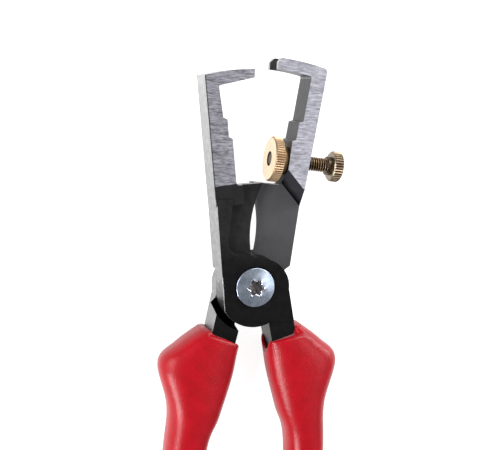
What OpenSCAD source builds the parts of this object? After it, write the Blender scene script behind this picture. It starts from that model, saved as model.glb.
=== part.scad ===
// Hand wire stripper with hooked, notched jaws, a lap joint and sleeve grips.
// The tool lies flat and open. +Y runs from the pivot to the jaw tips, +X to the
// viewer's right, +Z up out of the front face. The origin is on the pivot axis,
// on the flat rear face of the joint. The front arm carries the left jaw and the
// right handle. The rear arm is the same forging turned over, with a longer hook
// and a handle set a little further in.

/* [Jaws] */
// Lean of each jaw's outer edge away from the centre line, degrees
jaw_lean = 7.9; // [6:0.1:9]
// Distance from the pivot axis to the line of a jaw's outer edge
jaw_offset = 9; // [8.6:0.1:9.4]
// Thickness of the jaws and the tangs
jaw_t = 9.4; // [8.8:0.1:9.8]
// Width of the slim front length of a jaw
jaw_w_front = 4.1; // [3.8:0.1:4.6]
// Width of the middle length of a jaw
jaw_w_mid = 5.2; // [4.8:0.1:5.6]
// Width of the rear length of a jaw
jaw_w_rear = 6.2; // [5.8:0.1:6.6]
// Width of the rear arm's jaw at its ramp, beside the adjusting screw
rear_foot_w = 5.8; // [5.5:0.1:6]
// Width of the front arm's jaw where its hook begins
front_tip_w = 3.6; // [3:0.1:4]
// Width of the rear arm's jaw where its hook begins
rear_tip_w = 4.2; // [3.8:0.1:4.6]
// Distance along a jaw from the pivot to its first step
step_front_v = 47.2; // [45:0.1:49]
// Distance along a jaw from the pivot to its second step
step_rear_v = 41.9; // [41:0.1:43]
// Slant of a step along the jaw
step_slant = 0.6; // [0.3:0.1:1]
// Distance from the pivot to the floor of the space between the jaws
floor_y = 28.6; // [27:0.1:29.4]
// Rise of that floor from a jaw towards the centre line, degrees
floor_tilt = 5.5; // [3:0.5:6]
// Radius of the fillet between a jaw and that floor
foot_fillet = 0.9; // [0.5:0.1:1.2]

/* [Hooks] */
// Radius about the pivot at which the two hooks slide past each other
slide_r = 59.6; // [57:0.1:64]
// Clearance between the sliding faces of the hooks
slide_clear = 0.2; // [0.1:0.05:0.4]
// Radial thickness of the front arm's hook at its root
inner_hook_t = 3.5; // [3:0.1:4]
// Radial thickness of the front arm's hook at its end
inner_tip_t = 2.3; // [2:0.1:2.8]
// Radial thickness of the rear arm's hook
outer_hook_t = 3.2; // [2.4:0.1:4]
// Gap between the ends of the hooks with the tool open
mouth_w = 6.5; // [6:0.1:8]
// Width of the cutting notch in the end of each hook
notch_w = 6.2; // [5:0.1:7]
// Depth of the cutting notch
notch_d = 2.6; // [2:0.1:3]
// Size of the relief bevel on the end of the outer hook
hook_bevel = 1.2; // [0.6:0.1:1.6]
// Radius of the fillet between a jaw and its hook
hook_fillet = 0.5; // [0.3:0.1:1.2]
// Radius of the outer corner of the rear arm's hook
hook_corner = 1.2; // [0.6:0.1:2]

/* [Lap joint] */
// Thickness of the joint over both halves
joint_t = 10; // [9.9:0.1:11]
// Clearance between the two halves at the lap plane
lap_clear = 0.1; // [0.05:0.01:0.2]
// Radius of the round boss about the pivot
boss_r = 9.8; // [9.4:0.1:10.2]
// Distance of the boss centre below the pivot
boss_drop = 1.6; // [1.2:0.1:1.8]
// Half width of the boss level with the pivot
boss_half_w = 9.9; // [9.6:0.1:10.2]
// Height of the boss's flattened top above the pivot
boss_top = 8.5; // [8:0.1:9]
// Clearance between the boss and the step wall of the other arm
boss_clear = 0.9; // [0.4:0.05:1]
// Slope of the step wall, as radius gained from the lap plane to the face
wall_run = 0.7; // [0.4:0.1:1.4]
// Width by which the half-thick web stands outside the jaw's outer edge, below the jaw
web_bulge = 1.05; // [0.8:0.05:1.4]
// Angle by which the front arm's web spreads from there to the pivot, degrees
front_spread = 0.9; // [0:0.1:2]
// Angle by which the rear arm's web spreads from there to the pivot, degrees
rear_spread = 2.2; // [0:0.1:3]
// Width by which that side slopes in from the lap plane to the face
web_run = 1.35; // [0.8:0.05:1.6]
// Distance along the jaw to the upper end of the bulge
bulge_top_v = 23.8; // [22:0.1:24]
// Distance along the jaw to the lower end of the bulge
bulge_foot_v = 5; // [4:0.1:7]
// Length along the jaw over which the bulge dies away above its upper end
flare_l = 6.5; // [5:0.1:8]
// Distance from the pivot to the upper end of the raised joint face
pad_top_y = 24; // [22:0.1:25]
// Distance below the pivot to the lower end of the raised joint face
pad_foot_y = 9.7; // [9:0.1:11]
// Distance from the centre line to the narrowest place of a web's inner edge
waist_x = 1.6; // [1:0.1:2.2]
// Height of that narrowest place above the pivot
waist_y = 15.3; // [14:0.1:17]
// Radius of the hollow inner edge of a web
waist_r = 32.6; // [28:0.1:40]
// Depth of the recess beside the inner edge of a web
recess_d = 1.9; // [1:0.1:2.4]
// Distance from the centre line to the outer side of the recess, level with the pivot
recess_x = 9.2; // [8.6:0.1:9.6]
// Lean of that side, degrees
recess_lean = 4; // [2:0.5:6]
// Height of the recess's lower edge above the pivot
recess_foot_y = 8.8; // [8.4:0.1:10]
// Radius of the lower outer corner of the recess
recess_corner = 3; // [1:0.1:4]
// Width of the bevel along the inner edge of the recess floor
edge_bevel = 1.2; // [0.6:0.1:1.6]
// Distance along the jaw from the pivot to the ramp that drops to the lap plane
ramp_v = 33.8; // [33:0.1:35]
// Angle of the ramp across the jaw, degrees
ramp_angle = 40; // [36:1:44]
// Run of the ramp from the face to the lap plane
ramp_run = 2.95; // [2:0.05:3.2]

/* [Pivot screw] */
// Diameter of the screw head
head_d = 11; // [10:0.1:12]
// Height of the screw head above the joint face
head_rise = 1.4; // [1:0.1:2]
// Radius of the rounded edge of the head
head_round = 0.9; // [0.4:0.1:1.2]
// Depth of the seat that the head sinks into
seat_d = 0.5; // [0.3:0.1:0.8]
// Clearance round the head in that seat
seat_clear = 0.2; // [0.1:0.05:0.4]
// Diameter of the plain journal that the front arm turns on
journal_d = 6.6; // [6:0.1:7.2]
// Diameter of the end that screws into the rear arm
thread_d = 5.6; // [5:0.1:5.9]
// Radial running clearance of the front arm on the journal
run_clear = 0.04; // [0.02:0.01:0.08]
// Radial clearance of pieces that screw or slide into one another
fit_clear = 0.03; // [0.02:0.01:0.08]
// Distance across the lobes of the drive recess
drive_d = 4.9; // [4:0.1:5.4]
// Depth of the drive recess
drive_deep = 2.4; // [1.5:0.1:3]
// Radius of a lobe of the drive recess
lobe_r = 0.5; // [0.4:0.05:0.6]
// Radius of the ridges between the lobes
ridge_r = 0.8; // [0.6:0.05:0.9]

/* [Opening spring] */
// Diameter of the spring wire
wire_d = 1; // [0.8:0.05:1.1]
// Mean radius of the coil about the pivot
coil_r = 5.6; // [5.3:0.1:6]
// Rise of the coil in one turn
coil_pitch = 1.55; // [1.5:0.05:1.6]
// Turns between the two legs
coil_turns = 1.05; // [1:0.05:1.1]
// Length of each straight leg
leg_l = 5; // [3:0.1:6]
// Clearance round the wire in its pockets
wire_clear = 0.15; // [0.1:0.05:0.3]

/* [Adjusting screw] */
// Thread diameter of the adjusting screw
stud_d = 4; // [3:0.1:5]
// Length of the stud from its tip to the knurled head
stud_l = 17.2; // [16.4:0.1:19]
// Distance of the tip behind the open face of the lock nut
tip_inset = 0.8; // [0.3:0.1:1.5]
// Radial clearance of the stud in the jaw and the nut
stud_clear = 0.06; // [0.03:0.01:0.1]
// Diameter of the knurled head
knob_d = 8.6; // [7:0.1:10]
// Thickness of the knurled head
knob_t = 2.8; // [2.6:0.1:4]
// Diameter of the plain collar under the head
collar_d = 5.2; // [4.6:0.1:6]
// Length of that collar
collar_l = 1.2; // [0.8:0.1:2]
// Number of knurl ridges round the head
knob_teeth = 34; // [24:1:40]
// Depth of the stud's seat in the head
knob_seat = 2; // [1:0.1:2.4]

/* [Lock nut] */
// Diameter of the knurled lock nut
nut_d = 12.5; // [11:0.1:13]
// Thickness of the knurled rim
nut_t = 2.8; // [2:0.1:3.5]
// Diameter of the hub that bears on the jaw
hub_d = 7.6; // [6.6:0.1:9]
// Length of that hub
hub_l = 1.5; // [1:0.1:2]
// Gap between the hub and the jaw with the nut loosened
hub_gap = 0.1; // [0.05:0.05:0.3]
// Gap between the nut's rim and the floor between the jaws
nut_room = 0.45; // [0.3:0.05:1]
// Number of knurl ridges round the nut
nut_teeth = 56; // [40:1:64]
// Depth of the knurl on both brass pieces
knurl_d = 0.28; // [0.1:0.02:0.4]
// Share of a knurl ridge's pitch that its flat crest takes
knurl_flat = 0.12; // [0.05:0.01:0.3]
// Bevel on the edges of both brass pieces
brass_bevel = 0.4; // [0.2:0.05:0.6]

/* [Handles] */
// Lean of each tang away from the centre line below the pivot, degrees
tang_lean = 12.5; // [11:0.5:14]
// Width of a tang at the mouth of its grip
tang_w = 7.4; // [6.8:0.1:7.8]
// Distance of the tang's middle from the centre line at the mouth
tang_x = 8.95; // [8.7:0.05:9.3]
// Width of a tang where it grows thinner, below the guard
tang_bend_w = 6.7; // [6:0.1:7]
// Width of a tang at the waist of its grip
tang_waist_w = 5.8; // [4:0.1:7]
// Width of a tang at its end inside the grip
tang_end_w = 4.4; // [3:0.1:6]
// Distance below the guard's crest at which a tang grows thinner
tang_bend_drop = 2; // [1:0.1:4]
// Thickness of a tang inside the grip, below the guard
tang_inner_t = 6.4; // [4:0.1:7]
// Distance by which a tang stops short of the end of its grip
tang_short = 12; // [9:0.5:20]
// Distance by which the left handle is set in, level with the pivot
left_in = 0.6; // [0:0.1:1]
// Angle by which the left handle is set in below that, degrees
left_turn = 2.4; // [0:0.1:3]
// Distance below the pivot from which the left handle keeps its set
left_turn_y = 32; // [24:0.5:40]
// Distance by which the left grip is pushed further on
left_down = 1.1; // [0:0.1:1.5]
// Distance by which the left grip is wider on each side
left_swell = 0.45; // [0:0.05:0.6]

/* [Grips] */
// Distance from the pivot to the end of a grip
grip_end_y = 97.2; // [88:0.1:106]
// Distance below the pivot of the outer lip of a grip
mouth_out_y = 10.5; // [10:0.1:11.2]
// Distance below the pivot of the inner lip of a grip
mouth_in_y = 15.4; // [14.8:0.1:16]
// Distance from the centre line of the outer lip
mouth_out_x = 14; // [13.6:0.1:14.6]
// Distance from the centre line of the inner lip
mouth_in_x = 4.5; // [4.2:0.1:4.8]
// Distance from the centre line of the shoulder between the outer lip and the guard
shoulder_x = 21.2; // [20.4:0.1:22]
// Distance below the pivot of that shoulder
shoulder_y = 15.5; // [14.6:0.1:16.4]
// Distance from the centre line of the guard's crest
guard_x = 26.3; // [24:0.1:29]
// Distance below the pivot of the guard's crest
guard_y = 21.1; // [20:0.1:23]
// Distance from the centre line of the inner edge beside the guard
guard_in_x = 6.5; // [6:0.1:7]
// Distance below the pivot of the inner edge beside the guard
guard_in_y = 25.4; // [24:0.1:27]
// Distance from the centre line of the outer edge between the guard and the waist
flank_x = 23.6; // [23:0.1:25]
// Distance from the centre line of the grip's outer edge at its waist
grip_waist_out = 24.1; // [23.4:0.1:25]
// Distance from the centre line of the grip's inner edge at its waist
grip_waist_in = 13.2; // [12.4:0.1:13.8]
// Distance below the pivot of the grip's waist
grip_waist_y = 47; // [44:0.5:50]
// Distance from the centre line of the grip's outer edge near its end
grip_end_out = 25.4; // [24:0.1:27]
// Distance from the centre line of the grip's inner edge near its end
grip_end_in = 14.6; // [13.6:0.1:15.6]
// Thickness of a grip at its mouth
grip_mouth_t = 13.4; // [12.6:0.1:14]
// Thickness of a grip at its guard
grip_guard_t = 14.2; // [13.8:0.1:16]
// Thickness of a grip near its end
grip_end_t = 13; // [12:0.1:15]
// Length of the rounded end of a grip
grip_cap = 7; // [5:0.1:8]
// Squareness of a grip's section, where 1 is an ellipse
grip_power = 0.62; // [0.54:0.02:1]
// Distance below the pivot of the front and back lips, at their inner ends
lip_in_y = 16.05; // [15.6:0.05:16.6]
// Distance below the pivot of the front and back lips, at their outer ends
lip_out_y = 13.1; // [12.4:0.1:13.6]
// Clearance of a tang in its grip
tang_clear = 0.1; // [0.05:0.05:0.2]
// Half width of the notch in the inner lip of a grip
lip_notch_r = 3.4; // [2.6:0.1:3.8]
// Depth of that notch below the inner lip
lip_notch_d = 2.5; // [1.6:0.1:4]

/* [Hidden] */
$fn = 96;

lap_z = joint_t / 2;
lap_face = lap_clear / 2;
jaw_edge = -jaw_offset;
past = 1;
far = 80;

inner_hook_top = slide_r - slide_clear / 2;
outer_hook_foot = slide_r + slide_clear / 2;
block_v = ramp_v - (jaw_w_rear + web_bulge) * tan(ramp_angle) - ramp_run / cos(ramp_angle) - past / 2;
wall_foot_r = boss_r + boss_drop + boss_clear;

pocket_d = (coil_pitch * coil_turns + wire_d) / 2 + wire_clear - lap_face;
leg_angle = 90 + 180 * coil_turns;
leg_z = coil_pitch * coil_turns / 2;

screw_turn = atan((jaw_w_rear - rear_foot_w) / (step_rear_v - step_slant - ramp_v));
screw_tilt = jaw_lean - screw_turn;
screw_v = (floor_y + nut_room + nut_d / 2) / cos(screw_tilt);
screw_u = (jaw_offset - rear_foot_w) * cos(screw_turn) + ramp_v * sin(screw_turn);
nut_face = -(hub_gap + hub_l + nut_t);

mouth_mid_y = (mouth_out_y + mouth_in_y) / 2;
side_slope = web_run / (joint_t / 2);
tang_end_y = grip_end_y - tang_short;
tang_bend_y = guard_y + tang_bend_drop;
tang_levels = [0, mouth_mid_y, tang_bend_y, grip_waist_y, tang_end_y];
tang_widths = [tang_w, tang_w, tang_bend_w, tang_waist_w, tang_end_w];

// Middle of a right hand tang at a distance below the pivot.
function tang_mid(y) = y <= tang_bend_y
    ? tang_x + (y - mouth_mid_y) * tan(tang_lean)
    : y <= grip_waist_y
        ? tang_mid(tang_bend_y) + ((grip_waist_out + grip_waist_in) / 2 - tang_mid(tang_bend_y))
            * (y - tang_bend_y) / (grip_waist_y - tang_bend_y)
        : ((grip_waist_out + grip_waist_in) * (grip_end_y - y) + (grip_end_out + grip_end_in)
            * (y - grip_waist_y)) / (grip_end_y - grip_waist_y) / 2;

// Distance by which a handle is set in towards the centre line: set is 1 for the left one.
function set_in(y, set) = set * (left_in + min(y, left_turn_y) * tan(left_turn));

// Angle by which an arm's web spreads towards the pivot: set is 1 for the rear arm.
function web_spread(set) = set > 0 ? rear_spread : front_spread;

// Smooth curve through points, at t from 0 to the number of spans.
function spline(p, t) = let (
        last = len(p) - 1,
        i = min(floor(t), last - 1),
        f = t - i,
        a = p[max(i - 1, 0)],
        b = p[i],
        c = p[i + 1],
        d = p[min(i + 2, last)]
    ) b + 0.5 * f * ((c - a) + f * ((2 * a - 5 * b + 4 * c - d) + f * (3 * (b - c) + d - a)));

function signed_power(v, e) = sign(v) * pow(abs(v), e);

// A closed solid through rings of points that all have the same count.
module loft(rings) {
    n = len(rings[0]);
    last = len(rings) - 1;
    sides = [for (i = [0:last - 1], j = [0:n - 1])
        each [[i * n + j, i * n + (j + 1) % n, (i + 1) * n + j],
            [i * n + (j + 1) % n, (i + 1) * n + (j + 1) % n, (i + 1) * n + j]]];
    ends = [[for (j = [n - 1:-1:0]) j], [for (j = [0:n - 1]) last * n + j]];
    polyhedron(points = [for (ring = rings, p = ring) p], faces = concat(sides, ends), convexity = 6);
}

// The arms are drawn about the lap plane: the front arm as it lies, the rear arm turned over.
module at_lap() translate([0, 0, lap_z]) children();

module turned_over() at_lap() rotate([0, 180, 0]) children();

module along_jaw() rotate(jaw_lean) children();

module across_jaw(z0, z1) translate([0, 0, z0]) linear_extrude(z1 - z0) children();

// Everything below the floor of the space between the jaws.
module floor_outline() {
    rotate(floor_tilt) translate([-far, floor_y * cos(floor_tilt) - 2 * far]) square(2 * far);
}

// Room under a hook: below an arc, or below a straight line to a thinner end where tip_t is given.
module hook_room(root, hook_foot, hook_top, tip_t) {
    if (tip_t > 0) {
        start = [root.x * cos(jaw_lean) - root.y * sin(jaw_lean),
            root.x * sin(jaw_lean) + root.y * cos(jaw_lean)];
        tip = [-mouth_w / 2, sqrt(pow(hook_top - tip_t, 2) - pow(mouth_w / 2, 2))];
        reach = (tip - start) * 4;
        polygon([start - reach, tip + reach, [tip.x + reach.x, 0], [start.x - reach.x, 0]]);
    } else {
        circle(hook_foot);
    }
}

// Outline of a jaw with its hook, in the plane of the tool.
module jaw_outline(hook_foot, hook_top, tip_t, tip_w, foot_w, corner) {
    root = [jaw_edge + tip_w, sqrt(pow(hook_foot, 2) - pow(jaw_edge + tip_w, 2))];
    block_w = foot_w - (jaw_w_rear - foot_w) * (ramp_v - block_v) / (step_rear_v - step_slant - ramp_v);
    difference() {
        union() {
            along_jaw() intersection() {
                circle(hook_top);
                union() {
                    polygon([[jaw_edge, block_v], [jaw_edge, hook_top], [root.x, hook_top], root,
                        [jaw_edge + jaw_w_front, step_front_v],
                        [jaw_edge + jaw_w_mid, step_front_v - step_slant],
                        [jaw_edge + jaw_w_mid, step_rear_v],
                        [jaw_edge + jaw_w_rear, step_rear_v - step_slant],
                        [jaw_edge + block_w, block_v]]);
                    difference() {
                        translate([root.x - past, root.y - hook_fillet]) square(hook_fillet + past);
                        translate([root.x + hook_fillet, root.y - hook_fillet]) circle(hook_fillet);
                    }
                    intersection() {
                        offset(r = -foot_fillet) offset(delta = foot_fillet) {
                            polygon([[jaw_edge, block_v], [jaw_edge, step_rear_v - step_slant],
                                [jaw_edge + jaw_w_rear, step_rear_v - step_slant],
                                [jaw_edge + block_w, block_v]]);
                            rotate(-jaw_lean) floor_outline();
                        }
                        translate([jaw_edge + jaw_w_rear / 2, block_v])
                            square([jaw_w_rear / 2 + 2 * foot_fillet, ramp_v - block_v]);
                    }
                }
            }
            intersection() {
                difference() {
                    circle(hook_top);
                    hook_room(root, hook_foot, hook_top, tip_t);
                }
                along_jaw() translate([jaw_edge, 0]) square(far);
                translate([-far - mouth_w / 2, 0]) square(far);
            }
        }
        if (corner > 0) {
            along_jaw() difference() {
                translate([jaw_edge - past, sqrt(pow(hook_top, 2) - pow(jaw_edge, 2)) - corner])
                    square(corner + past);
                translate([jaw_edge + corner, sqrt(pow(hook_top - corner, 2) - pow(jaw_edge + corner, 2))])
                    circle(corner);
            }
        }
    }
}

// Cutting notch in the end of a hook, a vee that opens towards the other hook.
module hook_notch() {
    half = notch_w / 2;
    translate([-mouth_w / 2, slide_r - far / 4, 0]) rotate([-90, 0, 0]) linear_extrude(far / 2)
        polygon([[0, -half], [-notch_d, 0], [0, half], [past, half], [past, -half]]);
}

// Room behind the jaw, from a sloped ramp down to the lap plane.
module ramp_cut() {
    slope = ramp_run / (jaw_t / 2);
    along_jaw() translate([jaw_edge, ramp_v - jaw_w_rear * tan(ramp_angle)]) rotate(ramp_angle)
        rotate([90, 0, 90]) translate([0, 0, -far / 2]) linear_extrude(far)
        polygon([[slope * past, -jaw_t / 2 - past], [-ramp_run - slope * lap_face, lap_face],
            [-far, lap_face], [-far, -jaw_t / 2 - past]]);
}

// Wedge on the outer side of a jaw that leads into the wider web.
module side_flare() {
    half = jaw_t / 2;
    top = bulge_top_v + flare_l;
    inside = jaw_edge + past;
    edge = jaw_edge - web_bulge + side_slope * half;
    along_jaw() polyhedron(points = [[inside, top, -half], [inside, top, half],
        [inside, bulge_top_v, -half], [inside, bulge_top_v, half], [jaw_edge, top, -half],
        [jaw_edge, top, half], [edge, bulge_top_v, -half], [edge, bulge_top_v, half],
        [jaw_edge - web_bulge, bulge_top_v, 0]],
        faces = [[1, 5, 4, 0], [6, 8, 7, 3, 2], [2, 3, 1, 0], [4, 6, 2, 0], [3, 7, 5, 1],
            [8, 6, 4], [5, 8, 4], [7, 8, 5]]);
}

module jaw(hook_foot, hook_top, tip_t, tip_w, foot_w, corner) {
    difference() {
        union() {
            across_jaw(-jaw_t / 2, jaw_t / 2) jaw_outline(hook_foot, hook_top, tip_t, tip_w, foot_w, corner);
            side_flare();
        }
        ramp_cut();
        hook_notch();
    }
}

// Outline of the half-thick web and boss of one arm.
module web_outline(set) {
    spread = web_bulge + (bulge_top_v - bulge_foot_v) * tan(web_spread(set));
    difference() {
        union() {
            along_jaw() polygon([[jaw_edge, bulge_top_v], [jaw_edge - web_bulge, bulge_top_v],
                [jaw_edge - spread, bulge_foot_v + spread], [jaw_edge, bulge_foot_v],
                [0, 0], [0, bulge_top_v]]);
            intersection() {
                along_jaw() translate([jaw_edge, 0]) square(far);
                translate([-far / 2, 0]) square([far / 2 + waist_x * 2, far / 2]);
                floor_outline();
            }
        }
        translate([waist_r - waist_x, waist_y]) circle(waist_r);
    }
    translate([0, -boss_drop]) circle(boss_r);
    scale([1, boss_top / boss_half_w]) circle(boss_half_w);
}

// Outline of the raised face of the joint.
module pad_outline(set) {
    intersection() {
        union() {
            web_outline(set);
            tang_outline(set);
        }
        translate([-far / 2, -pad_foot_y]) square([far, pad_foot_y + pad_top_y]);
    }
}

// Outline of the recess beside a web's inner edge.
module recess_outline() {
    corner = [recess_corner - recess_x, recess_foot_y + recess_corner];
    intersection() {
        rotate(-recess_lean) union() {
            translate([corner.x, recess_foot_y]) square(far);
            translate([-recess_x, corner.y]) square(far);
            translate(corner) circle(recess_corner);
        }
        translate([-far / 2, 0]) square([far, floor_y + past]);
    }
}

// Outline of a tang from the boss to its end, right hand side, grown all round by a clearance.
module tang_outline(set, grow = 0) {
    last = len(tang_levels) - 1;
    edge = function (i, side) let (y = tang_levels[i])
        [tang_mid(y) - set_in(y, set) + side * (tang_widths[i] / 2 + grow), -y - (i == last ? grow : 0)];
    polygon(concat([for (i = [0:last]) edge(i, 1)], [for (i = [last:-1:0]) edge(i, -1)]));
}

// A tang, or the room for it inside its grip.
module tang(set, grow = 0) {
    half = jaw_t / 2 + grow;
    inner_half = tang_inner_t / 2 + grow;
    intersection() {
        across_jaw(-half, half) tang_outline(set, grow);
        union() {
            translate([-far, -tang_bend_y - grow, -half]) cube([2 * far, far, 2 * half]);
            translate([-far, -2 * far, -inner_half]) cube([2 * far, 2 * far, 2 * inner_half]);
        }
    }
}

// Half-thick web of one arm with its raised face, recess and bevels.
module web(set) {
    difference() {
        union() {
            across_jaw(lap_face, jaw_t / 2) web_outline(set);
            across_jaw(lap_face, joint_t / 2) pad_outline(set);
        }
        across_jaw(joint_t / 2 - recess_d, joint_t) recess_outline();
        web_side_cut(set);
        recess_edge_bevel();
    }
}

// Slope of the web's outer side, from the lap plane in to the face.
module web_side_cut(set) {
    along_jaw() translate([jaw_edge - web_bulge, bulge_top_v, 0]) rotate(-web_spread(set)) rotate([90, 0, 0])
        linear_extrude(bulge_top_v + boss_r)
        polygon([[-past * side_slope, -past], [(joint_t / 2 + past) * side_slope, joint_t / 2 + past],
            [-far / 8, joint_t / 2 + past], [-far / 8, -past]]);
}

// Bevel along the hollow inner edge, below the recess.
module recess_edge_bevel() {
    floor_z = joint_t / 2 - recess_d;
    translate([waist_r - waist_x, waist_y, floor_z - edge_bevel / 2])
        cylinder(h = edge_bevel, r1 = waist_r, r2 = waist_r + 2 * edge_bevel);
}

// Ring pocket and leg slot for the opening spring, in the lap face.
module spring_pocket() {
    room = wire_d / 2 + wire_clear;
    translate([0, 0, -past]) difference() {
        cylinder(h = past + lap_face + pocket_d, r = coil_r + room);
        translate([0, 0, -past]) cylinder(h = 3 * past + lap_face + pocket_d, r = coil_r - room);
    }
    rotate(leg_angle) translate([coil_r - room, 0, -past])
        cube([2 * room, leg_l + wire_clear, past + lap_face + pocket_d]);
}

// One arm: jaw, web, boss and tang.
module arm(hook_foot, hook_top, tip_t, tip_w, foot_w, corner, set) {
    difference() {
        union() {
            jaw(hook_foot, hook_top, tip_t, tip_w, foot_w, corner);
            difference() {
                tang(set);
                translate([0, 0, -jaw_t / 2 - past])
                    cylinder(h = past, r = wall_foot_r + wall_run);
                translate([0, 0, -jaw_t / 2])
                    cylinder(h = jaw_t / 2 + lap_face, r1 = wall_foot_r + wall_run, r2 = wall_foot_r);
            }
            web(set);
        }
        spring_pocket();
    }
}

module front_arm() {
    color("dimgray") at_lap() difference() {
        arm(inner_hook_top - inner_hook_t, inner_hook_top, inner_tip_t, front_tip_w, jaw_w_rear, 0, 0);
        cylinder(h = joint_t, r = journal_d / 2 + run_clear, center = true);
        translate([0, 0, joint_t / 2 - seat_d]) cylinder(h = joint_t, r = head_d / 2 + seat_clear);
    }
}

// Bevel on the end of the outer hook that leaves its cutting edge at the sliding face.
module outer_hook_bevel() {
    tip = [-mouth_w / 2, sqrt(pow(outer_hook_foot + outer_hook_t, 2) - pow(mouth_w / 2, 2))];
    across_jaw(-joint_t, joint_t)
        polygon([[tip.x - hook_bevel, tip.y + past / 4], [tip.x + past, tip.y + past / 4],
            [tip.x + past, tip.y - hook_bevel], [tip.x, tip.y - hook_bevel]]);
}

module rear_arm() {
    color("dimgray") difference() {
        turned_over() difference() {
            arm(outer_hook_foot, outer_hook_foot + outer_hook_t, 0, rear_tip_w, rear_foot_w, hook_corner, 1);
            cylinder(h = 2 * joint_t, r = thread_d / 2 + fit_clear, center = true);
            outer_hook_bevel();
        }
        at_screw() translate([0, 0, -far / 8]) cylinder(h = far / 4, r = stud_d / 2 + stud_clear);
    }
}

// Frame of the adjusting screw: its axis is +Z out of the jaw, zero at the jaw's inner face.
module at_screw() {
    at_lap() rotate(-screw_tilt) translate([screw_u, screw_v, 0]) rotate([0, 90, 0]) children();
}

// Round head with a rounded rim, a journal for the front arm and a screwed end.
module pivot_screw() {
    head_foot = joint_t / 2 - seat_d + lap_face;
    head_top = joint_t / 2 + head_rise;
    color("silver") at_lap() difference() {
        union() {
            rotate_extrude() {
                translate([0, head_foot]) square([head_d / 2 - head_round, head_top - head_foot]);
                translate([0, head_foot]) square([head_d / 2, head_top - head_foot - head_round]);
                translate([head_d / 2 - head_round, head_top - head_round]) circle(head_round);
            }
            translate([0, 0, -lap_face]) cylinder(h = head_foot + lap_face, r = journal_d / 2);
            translate([0, 0, -joint_t / 2]) cylinder(h = joint_t / 2, r = thread_d / 2);
        }
        translate([0, 0, head_top - drive_deep]) linear_extrude(drive_deep + past) drive_outline();
    }
}

// Six-lobed drive recess.
module drive_outline() {
    lobes = 6;
    ring_r = drive_d / 2 - lobe_r;
    difference() {
        circle(ring_r + lobe_r / 2);
        for (i = [0:lobes - 1]) rotate(180 * (2 * i + 1) / lobes) translate([ring_r + ridge_r, 0])
            circle(ridge_r);
    }
    for (i = [0:lobes - 1]) rotate(360 * i / lobes) translate([ring_r, 0]) circle(lobe_r);
}

// Wound wire with two straight legs, one for each arm.
module opening_spring() {
    sides = 8;
    steps = 26;
    turn = 360 * coil_turns;
    tangent = [-sin(leg_angle), cos(leg_angle)];
    top = [coil_r * cos(leg_angle), coil_r * sin(leg_angle)] + leg_l * tangent;
    path = concat([[-top.x, top.y, -leg_z]],
        [for (i = [0:steps]) let (a = 90 - turn / 2 + turn * i / steps)
            [coil_r * cos(a), coil_r * sin(a), leg_z * (2 * i / steps - 1)]],
        [[top.x, top.y, leg_z]]);
    last = len(path) - 1;
    ring = function (i) let (
            ahead = path[min(i + 1, last)] - path[max(i - 1, 0)],
            along = ahead / norm(ahead),
            out = cross(along, [0, 0, 1]) / norm(cross(along, [0, 0, 1])),
            up = cross(out, along)
        ) [for (j = [0:sides - 1]) let (a = -360 * j / sides)
            path[i] + wire_d / 2 * (out * cos(a) + up * sin(a))];
    color("darkgray") at_lap() loft([for (i = [0:last]) ring(i)]);
}

// Straight-knurled disc with bevelled edges, standing on the plane z = 0.
module knurled_disc(d, t, teeth) {
    face_r = d / 2 - brass_bevel;
    tooth = [[0, d / 2], [knurl_flat, d / 2], [0.5, d / 2 - knurl_d], [0.5 + knurl_flat, d / 2 - knurl_d]];
    intersection() {
        linear_extrude(t) polygon([for (i = [0:teeth - 1], k = tooth)
            k[1] * [cos(360 * (i + k[0]) / teeth), sin(360 * (i + k[0]) / teeth)]]);
        rotate_extrude() polygon([[0, 0], [face_r, 0], [face_r + t / 2, t / 2], [face_r, t], [0, t]]);
    }
}

// Threaded stud that crosses the rear arm's jaw, with a bevelled tip.
module adjusting_stud() {
    tip = nut_face + tip_inset;
    bevel = stud_d / 8;
    color("saddlebrown") at_screw() rotate_extrude()
        polygon([[0, tip], [stud_d / 2 - bevel, tip], [stud_d / 2, tip + bevel],
            [stud_d / 2, tip + stud_l + knob_seat], [0, tip + stud_l + knob_seat]]);
}

// Knurled head with a plain collar, pressed on the outer end of the stud.
module adjusting_knob() {
    color("saddlebrown") at_screw() translate([0, 0, nut_face + tip_inset + stud_l]) difference() {
        union() {
            knurled_disc(knob_d, knob_t, knob_teeth);
            translate([0, 0, -collar_l]) cylinder(h = collar_l + brass_bevel, r = collar_d / 2);
        }
        translate([0, 0, -collar_l - past])
            cylinder(h = collar_l + past + knob_seat, r = stud_d / 2 + fit_clear);
    }
}

// Knurled lock nut with a hub towards the jaw.
module lock_nut() {
    color("burlywood") at_screw() difference() {
        union() {
            translate([0, 0, nut_face]) knurled_disc(nut_d, nut_t, nut_teeth);
            translate([0, 0, -hub_gap - hub_l - brass_bevel])
                cylinder(h = hub_l + brass_bevel, r = hub_d / 2);
        }
        translate([0, 0, nut_face - past]) cylinder(h = far / 4, r = stud_d / 2 + stud_clear);
    }
}

// Room above the front and back lips of a grip, inside its higher outer lip.
module lip_outline(set) {
    side = function (y) [tang_mid(y) + tang_w / 2 + tang_clear - set_in(y, set), -y];
    inner = [mouth_in_x - set_in(lip_in_y, set), -lip_in_y];
    reach = inner - side(lip_out_y);
    polygon([side(0), side(lip_out_y), inner + reach, [inner.x + reach.x, 0]]);
}

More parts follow.
